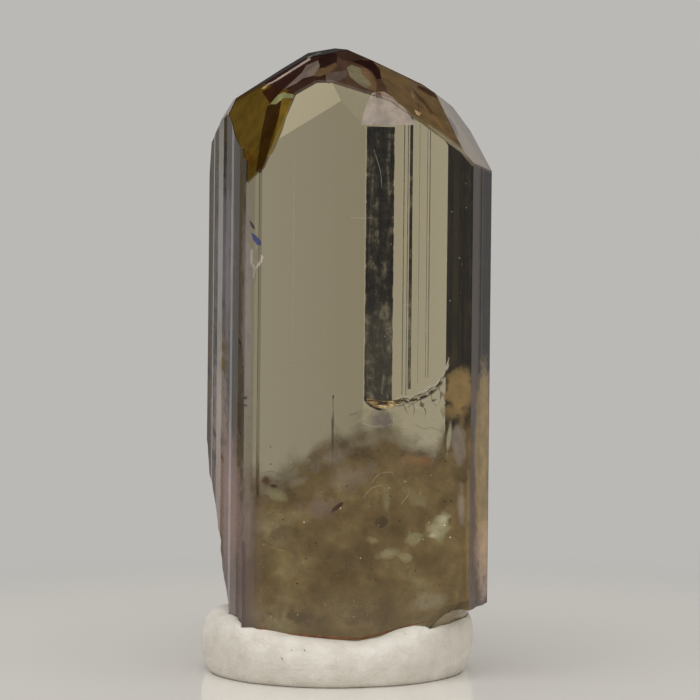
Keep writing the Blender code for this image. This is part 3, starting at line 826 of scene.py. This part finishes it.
def thread_tree(mat):
    """Geometry Nodes: round threads along loose edges, thick as their attribute says."""
    tree, source = new_geometry_tree("threads_along_paths", Sides="NodeSocketInt")
    paths = node(tree, "GeometryNodeMeshToCurve", {0: source.outputs["Geometry"]})
    smooth = node(tree, "GeometryNodeCurveSplineType", {"Curve": paths}, spline_type="CATMULL_ROM")
    finer = node(tree, "GeometryNodeResampleCurve", {"Curve": smooth, "Length": 0.10 * MM}, mode="LENGTH")
    thickness = node(tree, "GeometryNodeInputNamedAttribute", {"Name": "thickness"}, data_type="FLOAT")
    where = node(tree, "GeometryNodeSplineParameter").outputs["Factor"]
    tip = node(tree, "ShaderNodeMapRange", {
        "Value": where, "From Min": 0.75, "From Max": 1.0, "To Min": 1.0, "To Max": 0.35})
    scale = node(tree, "ShaderNodeMath", {0: thickness, 1: tip}, operation="MULTIPLY")
    profile = node(tree, "GeometryNodeCurvePrimitiveCircle", {
        "Resolution": source.outputs["Sides"], "Radius": 0.5})
    threads = node(tree, "GeometryNodeCurveToMesh", {
        "Curve": finer, "Profile Curve": profile, "Scale": scale, "Fill Caps": True})
    end_geometry_tree(tree, threads, mat)
    return tree


def as_plain_piece(obj):
    """The result of the object's modifier as its own mesh, and the modifier removed."""
    depsgraph = bpy.context.evaluated_depsgraph_get()
    mesh = bpy.data.meshes.new_from_object(obj.evaluated_get(depsgraph))
    obj.modifiers.clear()
    obj.data = mesh
    return obj


def grown_piece(name, mesh, tree, sizes):
    """A piece that a Geometry Nodes tree makes from a mesh, with the tree's sizes set by name."""
    obj = new_piece(name, mesh)
    modifier = obj.modifiers.new(tree.name, "NODES")
    modifier.node_group = tree
    for item in tree.interface.items_tree:
        if item.name in sizes:
            modifier[item.identifier] = sizes[item.name]
    return as_plain_piece(obj)


def thread_piece(name, threads, y, mat):
    """One piece of all the threads of one kind, near one plane along the front."""
    verts = []
    edges = []
    widths = []
    for width, *path in threads:
        edges += [(len(verts) + i, len(verts) + i + 1) for i in range(len(path) - 1)]
        verts += [leaning(x, y + THREAD_WAVER * (step % 2), z) for step, (x, z) in enumerate(path)]
        widths += [width * MM] * len(path)
    mesh = bpy.data.meshes.new(name)
    mesh.from_pydata(verts, edges, [])
    mesh.attributes.new("thickness", "FLOAT", "POINT").data.foreach_set("value", widths)
    return grown_piece(name, mesh, thread_tree(mat), {"Sides": 6})


def thread_material(name, hex_colour, painted_glow):
    """The wall of a crack or tube, or a grain: dark where it is stained, white as a painted reflection where
    it throws light back, with a painted glow.
    """
    mat, tree = new_material(name)
    place = node(tree, "ShaderNodeTexCoord").outputs["Object"]
    breaks = node(tree, "ShaderNodeTexNoise", {"Vector": place, "Scale": per_metre(0.25), "Detail": 3.0})
    cover = node(tree, "ShaderNodeMapRange", {
        "Value": breaks, "From Min": 0.36, "From Max": 0.60, "To Min": 0.25, "To Max": 1.0})
    shader = node(tree, "ShaderNodeBsdfPrincipled", {
        "Base Color": linear(hex_colour), "Roughness": 0.6, "Alpha": cover,
        "Emission Color": linear(hex_colour), "Emission Strength": painted_glow})
    node(tree, "ShaderNodeOutputMaterial", {"Surface": shader})
    return mat


# the white of the pale cracks is a painted reflection, with a painted glow
for name, threads, y, mat in (
        ("dark_cracks", DARK_THREADS, THREAD_Y, thread_material("stained_crack", "#3A2A18", 0.05)),
        ("pale_cracks", PALE_THREADS, THREAD_Y, thread_material("open_crack", "#E8E2CE", 0.35)),
        ("brown_contact_line", SEAM_THREADS, SEAM_Y, thread_material("brown_contact_line", "#8E5434", 0.0))):
    cracks = thread_piece(name, threads, y, mat)
    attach(cracks, "root")


# The bronze flash
# A flat open crack at the end of the fracture, which lies so that its wall throws light back in gold and
# bronze, painted as a reflection with a painted glow, and with a dark rim along its lower left side.

# X and Z of its outline
FLASH_OUTLINE = ((0.64, 9.56), (0.92, 9.52), (1.24, 9.47), (1.60, 9.46), (1.92, 9.50), (1.84, 9.38),
                 (1.58, 9.26), (1.30, 9.20), (1.02, 9.24), (0.78, 9.34))
FLASH_RIM = ((0.60, 9.60), (0.66, 9.40), (0.80, 9.28), (1.02, 9.16), (1.30, 9.12), (1.30, 9.20), (1.02, 9.25),
             (0.82, 9.36), (0.70, 9.46), (0.66, 9.58))
FLASH_Y = -2.93
FLASH_RIM_LIFT = 0.012      # the rim lies this much nearer to the front face
FLASH_THICKNESS = 0.008


def flat_piece(name, outline, y):
    """A thin closed plate on an outline in the plane of the front face."""
    work = bmesh.new()
    close_body(work, [[work.verts.new(leaning(x, depth, z)) for x, z in outline]
                      for depth in (y + FLASH_THICKNESS, y)])
    return shaped_piece(name, work)


def flash_material():
    """The bright wall of the crack as a painted reflection with a painted glow: gold in the middle, bronze
    and dark towards its edges.
    """
    mat, tree = new_material("gold_bronze_painted_flash")
    place = node(tree, "ShaderNodeTexCoord").outputs["Object"]
    flat = node(tree, "ShaderNodeMapping", {"Vector": place, "Scale": (0.5, 1.0, 1.6)})
    ripples = node(tree, "ShaderNodeTexNoise", {
        "Vector": flat, "Scale": per_metre(0.16), "Detail": 4.0, "Distortion": 0.6})
    colour = node(tree, "ShaderNodeValToRGB", {"Fac": ripples}, stops=(
        (0.34, "#3A2814"), (0.45, "#8A6A3C"), (0.56, "#C8A86A"), (0.68, "#FFF2CC")))
    shader = node(tree, "ShaderNodeBsdfPrincipled", {
        "Base Color": colour, "Roughness": 0.35, "Metallic": 0.4,
        "Emission Color": colour, "Emission Strength": 0.38})
    node(tree, "ShaderNodeOutputMaterial", {"Surface": shader})
    return mat


rim_look = thread_material("dark_crack_rim", "#0E0804", 0.0)
for name, outline, y, mat in (("bronze_flash", FLASH_OUTLINE, FLASH_Y, flash_material()),
                              ("bronze_flash_rim", FLASH_RIM, FLASH_Y - FLASH_RIM_LIFT, rim_look)):
    plate = flat_piece(name, outline, y)
    plate.data.materials.append(mat)
    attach(plate, "root")


# The specks and glints
# Tiny dark grains, and tiny painted glints with a painted glow for light caught by fluid bubbles, scattered
# through the milky base just behind the front face and, fewer, through the clear stone above it.

SPECK_FIELDS = (
    # name, X and Z range, how many, largest size, seed, and the material with its colour and painted glow
    ("dark_specks", (-2.8, 3.9), (2.4, 8.0), 150, 0.08, 4, "dark_mineral_grain", "#1E160C", 0.02),
    # the bright glints are painted highlights with a painted glow
    ("bright_glints", (-2.8, 3.9), (2.2, 7.6), 80, 0.05, 9, "fluid_bubble", "#FFFBEA", 0.75),
    ("high_glints", (0.7, 4.0), (8.0, 17.8), 80, 0.04, 15, "clear_fluid_bubble", "#E6E2CC", 0.45),
)
SPECK_Y = -2.94


def speck_tree(mat, seed):
    """Geometry Nodes: uneven grains scattered over a flat field, most of them small."""
    tree, source = new_geometry_tree("grains_on_a_field", **{
        "Per Square Metre": "NodeSocketFloat", "Largest": "NodeSocketFloat"})
    spots = node(tree, "GeometryNodeDistributePointsOnFaces", {
        "Mesh": source.outputs["Geometry"], "Density": source.outputs["Per Square Metre"], "Seed": seed})
    size = node(tree, "FunctionNodeRandomValue", {"Seed": seed + 1}, data_type="FLOAT")
    skewed = node(tree, "ShaderNodeMath", {0: size, 1: 3.0}, operation="POWER")
    spread = node(tree, "ShaderNodeMapRange", {"Value": skewed, "To Min": 0.35, "To Max": 1.0})
    scale = node(tree, "ShaderNodeMath", {0: spread, 1: source.outputs["Largest"]}, operation="MULTIPLY")
    turn = node(tree, "FunctionNodeRandomValue", {"Max": (0.0, 6.28, 0.0), "Seed": seed + 2},
                data_type="FLOAT_VECTOR")
    grain = node(tree, "GeometryNodeMeshIcoSphere", {"Radius": 0.5, "Subdivisions": 2})
    oval = node(tree, "GeometryNodeTransform", {"Geometry": grain, "Scale": (1.0, 0.4, 0.6)})
    grains = node(tree, "GeometryNodeInstanceOnPoints", {
        "Points": spots, "Instance": oval, "Scale": scale, "Rotation": turn})
    end_geometry_tree(tree, grains, mat)
    return tree


for name, (x_low, x_high), (z_low, z_high), count, largest, seed, *look in SPECK_FIELDS:
    field = bpy.data.meshes.new(name)
    corners = ((x_low, z_low), (x_high, z_low), (x_high, z_high), (x_low, z_high))
    field.from_pydata([leaning(x, SPECK_Y, z) for x, z in corners], [], [(0, 1, 2, 3)])
    area = (x_high - x_low) * (z_high - z_low) * MM * MM
    specks = grown_piece(name, field, speck_tree(thread_material(*look), seed), {
        "Per Square Metre": count / area, "Largest": largest * MM})
    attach(specks, "root")


# The putty foot
# Off-white putty, kneaded and pressed flat by hand around the broken end of the crystal. It
# is matt, with shallow dents, fine wrinkles and a few pits, and its lip is uneven.

PUTTY_CENTRE = Vector((-0.32, 0.0))
# half section from the foot outwards and up to the lip: radius and share of the lip's height
PUTTY_SECTION = ((0.0, 0.0), (2.1, 0.0), (4.02, 0.0), (4.20, 0.0), (4.33, 0.07), (4.41, 0.19),
                 (4.46, 0.35), (4.47, 0.52), (4.42, 0.68), (4.31, 0.82), (4.13, 0.93), (3.88, 0.99),
                 (3.55, 1.0), (3.0, 0.97), (2.0, 0.95), (0.0, 0.95))
# height of the lip along the front, and at the back
PUTTY_LIP = ((-4.2, 2.10), (-3.7, 2.08), (-2.8, 1.84), (-1.8, 1.62), (-0.4, 1.52), (0.4, 1.46), (1.1, 1.58),
             (1.6, 1.78), (2.5, 2.00), (3.2, 2.22), (4.0, 2.30), (4.4, 2.22))
PUTTY_LIP_BACK = 1.85
PUTTY_TURNS = 180
PUTTY_STEPS = 75
PUTTY_DENTS = ((0.11, 0.55), (0.05, 1.5), (0.016, 4.5))     # depth, and how many to the millimetre
PUTTY_FLARE = 0.22          # the right side leans out by this much towards its lip
POCKET_GAP = 0.02
STONE_HALF = (4.7, 3.1)     # half the stone's width and depth, for the gap


def section_point(t):
    """Radius and height share at t from 0 to 1 along the putty's half section, rounded."""
    where = t * (len(PUTTY_SECTION) - 1)
    i = min(int(where), len(PUTTY_SECTION) - 2)
    local = where - i
    before = PUTTY_SECTION[max(i - 1, 0)]
    a = PUTTY_SECTION[i]
    b = PUTTY_SECTION[i + 1]
    after = PUTTY_SECTION[min(i + 2, len(PUTTY_SECTION) - 1)]
    point = []
    for p, q, r, u in zip(before, a, b, after):
        bend = (2 * p - 5 * q + 4 * r - u) * local ** 2 + (3 * q - p - 3 * r + u) * local ** 3
        point.append(q + 0.5 * ((r - p) * local + bend))
    return max(0.0, point[0]), max(0.0, point[1])


def putty_ring(radius, share):
    """Places all round the lump at one point of its half section."""
    ring = []
    for turn in range(PUTTY_TURNS):
        angle = math.tau * turn / PUTTY_TURNS
        outward = Vector((math.cos(angle), math.sin(angle)))
        lip = along(PUTTY_LIP, PUTTY_CENTRE.x + radius * outward.x)
        backness = smooth_step(-0.35, 0.25, outward.y)
        lip += (PUTTY_LIP_BACK - lip) * backness * (1.0 - 0.6 * abs(outward.x))
        spot = Vector((outward.x * radius, outward.y * radius, share * lip))
        dent = sum(lump(spot, *sizes) for sizes in PUTTY_DENTS)
        off_table = smooth_step(0.0, 0.25, share)
        flare = PUTTY_FLARE * max(0.0, outward.x) * smooth_step(0.1, 1.0, share)
        reach = radius + smooth_step(2.2, 4.0, radius) * (dent * (0.3 + 0.7 * off_table) + flare)
        height = share * lip + off_table * (0.5 * dent if share > 0.8 else 0.0)
        ring.append(Vector((PUTTY_CENTRE.x + outward.x * reach, outward.y * reach, height)) * MM)
    return ring


def putty_body():
    """The closed lump of putty, dented all round, before the crystal's pocket is cut."""
    work = bmesh.new()
    rings = [putty_ring(*section_point(step / PUTTY_STEPS)) for step in range(PUTTY_STEPS + 1)]
    rows = [[work.verts.new(place) for place in ring] for ring in rings[1:-1]]
    add_sides(work, rows)
    for row, height in ((rows[0][::-1], 0.0), (rows[-1], rings[-1][0].z)):
        pole = work.verts.new((PUTTY_CENTRE.x * MM, 0.0, height))
        for i in range(PUTTY_TURNS):
            work.faces.new((pole, row[i], row[(i + 1) % PUTTY_TURNS]))
    bmesh.ops.recalc_face_normals(work, faces=work.faces)
    return shaped_piece("putty_lump", work)


def clear_of_crystal(obj):
    """Cut the crystal's shape out of a piece, a little wider all round."""
    tool = merged_copy("crystal", "pocket_tool")
    for vertex in tool.data.vertices:
        vertex.co.x *= 1.0 + POCKET_GAP / STONE_HALF[0]
        vertex.co.y *= 1.0 + POCKET_GAP / STONE_HALF[1]
    boolean = obj.modifiers.new("pocket", "BOOLEAN")
    boolean.operation = "DIFFERENCE"
    boolean.solver = "EXACT"
    boolean.object = tool
    as_plain_piece(obj)
    bpy.data.objects.remove(tool)


def putty_material():
    """Mounting putty: matt and off-white, mottled by handling, with fine wrinkles and pits, the pits darkened
    with painted shade.
    """
    mat, tree = new_material("mounting_putty")
    place = node(tree, "ShaderNodeTexCoord").outputs["Object"]
    mottle = node(tree, "ShaderNodeTexNoise", {
        "Vector": place, "Scale": per_metre(0.8), "Detail": 7.0, "Roughness": 0.62})
    colour = node(tree, "ShaderNodeValToRGB", {"Fac": mottle}, stops=((0.35, "#DAD3C6"), (0.65, "#E8E3D9")))
    pits = node(tree, "ShaderNodeTexVoronoi", {"Vector": place, "Scale": per_metre(0.34), "Randomness": 1.0})
    pit = node(tree, "ShaderNodeMapRange", {
        "Value": pits.outputs["Distance"], "From Min": 0.03, "From Max": 0.09})
    # only some of the cells hold a pit
    draw = node(tree, "ShaderNodeSeparateXYZ", {0: pits.outputs["Color"]})
    empty = node(tree, "ShaderNodeMath", {0: draw, 1: 0.70}, operation="LESS_THAN")
    pit_free = node(tree, "ShaderNodeMath", {0: pit, 1: empty}, operation="MAXIMUM")
    # painted shade: the pits are darker than the putty around them
    pit_shaded_colour = node(tree, "ShaderNodeMix", {"Factor": pit_free, "A": linear("#A59A88"), "B": colour},
                  data_type="RGBA")
    wrinkles = node(tree, "ShaderNodeTexNoise", {
        "Vector": place, "Scale": per_metre(0.6), "Detail": 8.0, "Roughness": 0.66, "Distortion": 0.5})
    relief = node(tree, "ShaderNodeMath", {0: wrinkles, 1: pit_free}, operation="ADD")
    bump = node(tree, "ShaderNodeBump", {"Height": relief, "Strength": 1.0, "Distance": 0.12 * MM})
    shader = node(tree, "ShaderNodeBsdfPrincipled", {"Base Color": pit_shaded_colour, "Roughness": 0.7, "Normal": bump})
    node(tree, "ShaderNodeOutputMaterial", {"Surface": shader})
    return mat


putty = putty_body()
clear_of_crystal(putty)
putty.data.materials.append(putty_material())
putty.data.shade_smooth()
putty.data.set_sharp_from_angle(angle=math.radians(45.0))
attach(putty, "root")
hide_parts("putty_foot")


# The floor, light and camera
# The specimen stands on a pale, slightly glossy table in a pale room, under one soft lamp, and
# is seen from the front and a little above. The room's light and dark patches are what the
# glossy faces and the clear stone show of it.

FLOOR_RADIUS = 30.0
FLOOR_FADE = (14.0, 28.0)
# how bright the room is straight to the sides, to the front and back, above and below
ROOM_SIDES = 0.172
ROOM_FRONT = 0.273
ROOM_BACK = 0.457
ROOM_ABOVE = 0.172
ROOM_BELOW = 0.263
ROOM_TINT = (1.0, 0.985, 0.955)
ROOM_DARK = (0.030, 0.028, 0.032)
# compass direction, height and radius in degrees, and how bright
BRIGHT_PATCHES = ((20.7, -28.6, 15.7, 0.797), (1.0, -43.4, 22.8, 0.581), (-14.0, -8.0, 8.0, 0.58))
DARK_PATCHES = ((57.3, -7.6, 6.85), (-87.5, 8.75, 21.6), (155.9, 56.0, 5.24))
PATCH_EDGE_DEG = 16.0
# shares of the room's light that gloss doesn't show: high up, and in a patch low behind
HIGH_CUT = 0.88
HIGH_CUT_RISE = (0.06, 0.22)
LOW_CUT = 0.9
LOW_CUT_PATCH = (-2.3, -4.1, 5.0, 5.0)
SIDE_FILL = 2.2             # more light on matt surfaces from the sides


def soft_patch(tree, view, compass_deg, height_deg, radius_deg, edge_deg=PATCH_EDGE_DEG):
    """1 inside a soft round patch of the surroundings, and 0 outside it."""
    towards = node(tree, "ShaderNodeVectorMath", {0: view, 1: direction(compass_deg, height_deg)},
                   operation="DOT_PRODUCT")
    angle = node(tree, "ShaderNodeMath", {0: towards}, operation="ARCCOSINE")
    edge = math.radians(edge_deg / 2)
    radius = math.radians(radius_deg)
    return node(tree, "ShaderNodeMapRange", {
        "Value": angle, "From Min": radius + edge, "From Max": radius - edge},
        interpolation_type="SMOOTHSTEP")


def surroundings():
    """A pale room, darker overhead and at the sides, with a few darker and lighter patches."""
    world = bpy.data.worlds.new("pale_room")
    world.use_nodes = True
    tree = world.node_tree
    tree.nodes.clear()
    view = node(tree, "ShaderNodeTexCoord").outputs["Generated"]
    parts = node(tree, "ShaderNodeSeparateXYZ", {0: view})
    z = parts.outputs["Z"]
    behind = node(tree, "ShaderNodeMath", {0: parts.outputs["Y"], 1: 0.0}, operation="GREATER_THAN")
    below = node(tree, "ShaderNodeMath", {0: z, 1: 0.0}, operation="LESS_THAN")
    levels = node(tree, "ShaderNodeCombineXYZ", {
        "X": ROOM_SIDES,
        "Y": node(tree, "ShaderNodeMapRange", {"Value": behind, "To Min": ROOM_FRONT, "To Max": ROOM_BACK}),
        "Z": node(tree, "ShaderNodeMapRange", {"Value": below, "To Min": ROOM_ABOVE, "To Max": ROOM_BELOW})})
    squares = node(tree, "ShaderNodeVectorMath", {0: view, 1: view}, operation="MULTIPLY")
    level = node(tree, "ShaderNodeVectorMath", {0: squares, 1: levels}, operation="DOT_PRODUCT")
    for *place, value in BRIGHT_PATCHES:
        patch = soft_patch(tree, view, *place)
        level = node(tree, "ShaderNodeMix", {"Factor": patch, "A": level, "B": value})
    dark = 0.0
    for place in DARK_PATCHES:
        patch = soft_patch(tree, view, *place)
        dark = node(tree, "ShaderNodeMath", {0: dark, 1: patch}, operation="MAXIMUM")
    lit = node(tree, "ShaderNodeVectorMath", {0: ROOM_TINT, "Scale": level}, operation="SCALE")
    room = node(tree, "ShaderNodeMix", {"Factor": dark, "A": lit, "B": ROOM_DARK}, data_type="VECTOR")
    path = node(tree, "ShaderNodeLightPath")
    high = node(tree, "ShaderNodeMapRange", {
        "Value": z, "From Min": HIGH_CUT_RISE[0], "From Max": HIGH_CUT_RISE[1], "To Max": HIGH_CUT},
        interpolation_type="SMOOTHSTEP")
    low = node(tree, "ShaderNodeMath", {0: soft_patch(tree, view, *LOW_CUT_PATCH), 1: LOW_CUT},
               operation="MULTIPLY")
    cut = node(tree, "ShaderNodeMath", {0: high, 1: low}, operation="MAXIMUM")
    gloss_cut = node(tree, "ShaderNodeMath", {0: cut, 1: path.outputs["Is Glossy Ray"]}, operation="MULTIPLY")
    shown = node(tree, "ShaderNodeMath", {0: 1.0, 1: gloss_cut}, operation="SUBTRACT")
    sideways = node(tree, "ShaderNodeSeparateXYZ", {0: squares})
    side_fill = node(tree, "ShaderNodeMath", {0: sideways, 1: SIDE_FILL, 2: 1.0}, operation="MULTIPLY_ADD")
    fill = node(tree, "ShaderNodeMath", {0: path.outputs["Is Diffuse Ray"], 1: side_fill, 2: shown},
                operation="MULTIPLY_ADD")
    room = node(tree, "ShaderNodeVectorMath", {0: room, "Scale": fill}, operation="SCALE")
    colour = node(tree, "ShaderNodeMix", {
        "Factor": path.outputs["Is Camera Ray"], "A": room, "B": linear("#BBB9B5")[:3]}, data_type="VECTOR")
    background = node(tree, "ShaderNodeBackground", {"Color": colour, "Strength": 1.0})
    node(tree, "ShaderNodeOutputWorld", {"Surface": background})
    return world


def floor_material():
    """A smooth, pale laminate, which fades into the room's colour far from the specimen."""
    mat, tree = new_material("pale_floor")
    place = node(tree, "ShaderNodeTexCoord").outputs["Object"]
    reach = node(tree, "ShaderNodeVectorMath", {0: place}, operation="LENGTH")
    fade = node(tree, "ShaderNodeMapRange", {
        "Value": reach, "From Min": FLOOR_FADE[0] * MM, "From Max": FLOOR_FADE[1] * MM},
        interpolation_type="SMOOTHSTEP")
    shader = node(tree, "ShaderNodeBsdfPrincipled", {"Base Color": linear("#E6E2DB"), "Roughness": 0.12})
    clear = node(tree, "ShaderNodeBsdfTransparent")
    mix = node(tree, "ShaderNodeMixShader", {0: fade, 1: shader, 2: clear})
    node(tree, "ShaderNodeOutputMaterial", {"Surface": mix})
    return mat


bpy.context.scene.world = surroundings()

bpy.ops.mesh.primitive_circle_add(vertices=96, radius=FLOOR_RADIUS * MM, fill_type="NGON")
floor = bpy.context.object
floor.name = "pale_floor"
floor.data.materials.append(floor_material())

overhead = bpy.data.lights.new("overhead_softbox", "AREA")
overhead.shape = "SQUARE"
overhead.size = 360.0 * MM
overhead.energy = 0.62
lamp = bpy.data.objects.new("overhead_softbox", overhead)
lamp.location = (-20.0 * MM, -100.0 * MM, 220.0 * MM)
lamp.rotation_euler = (Vector(lamp.location)).to_track_quat("Z", "Y").to_euler()
lamp.visible_camera = False
lamp.visible_glossy = False
lamp.visible_transmission = False
bpy.context.scene.collection.objects.link(lamp)

CAMERA_DISTANCE = 1000.0
CAMERA_TARGET = Vector((0.145, 0.011, 10.76))
camera_data = bpy.data.cameras.new("camera")
camera_data.sensor_width = 36.0
camera_data.lens = 1542.7
camera_data.clip_start = 10.0 * MM
camera = bpy.data.objects.new("camera", camera_data)
camera.location = (CAMERA_TARGET - SIGHT * CAMERA_DISTANCE) * MM
camera.rotation_euler = (-SIGHT).to_track_quat("Z", "Y").to_euler()
bpy.context.scene.collection.objects.link(camera)
bpy.context.scene.camera = camera
bpy.context.scene.view_settings.view_transform = "Standard"
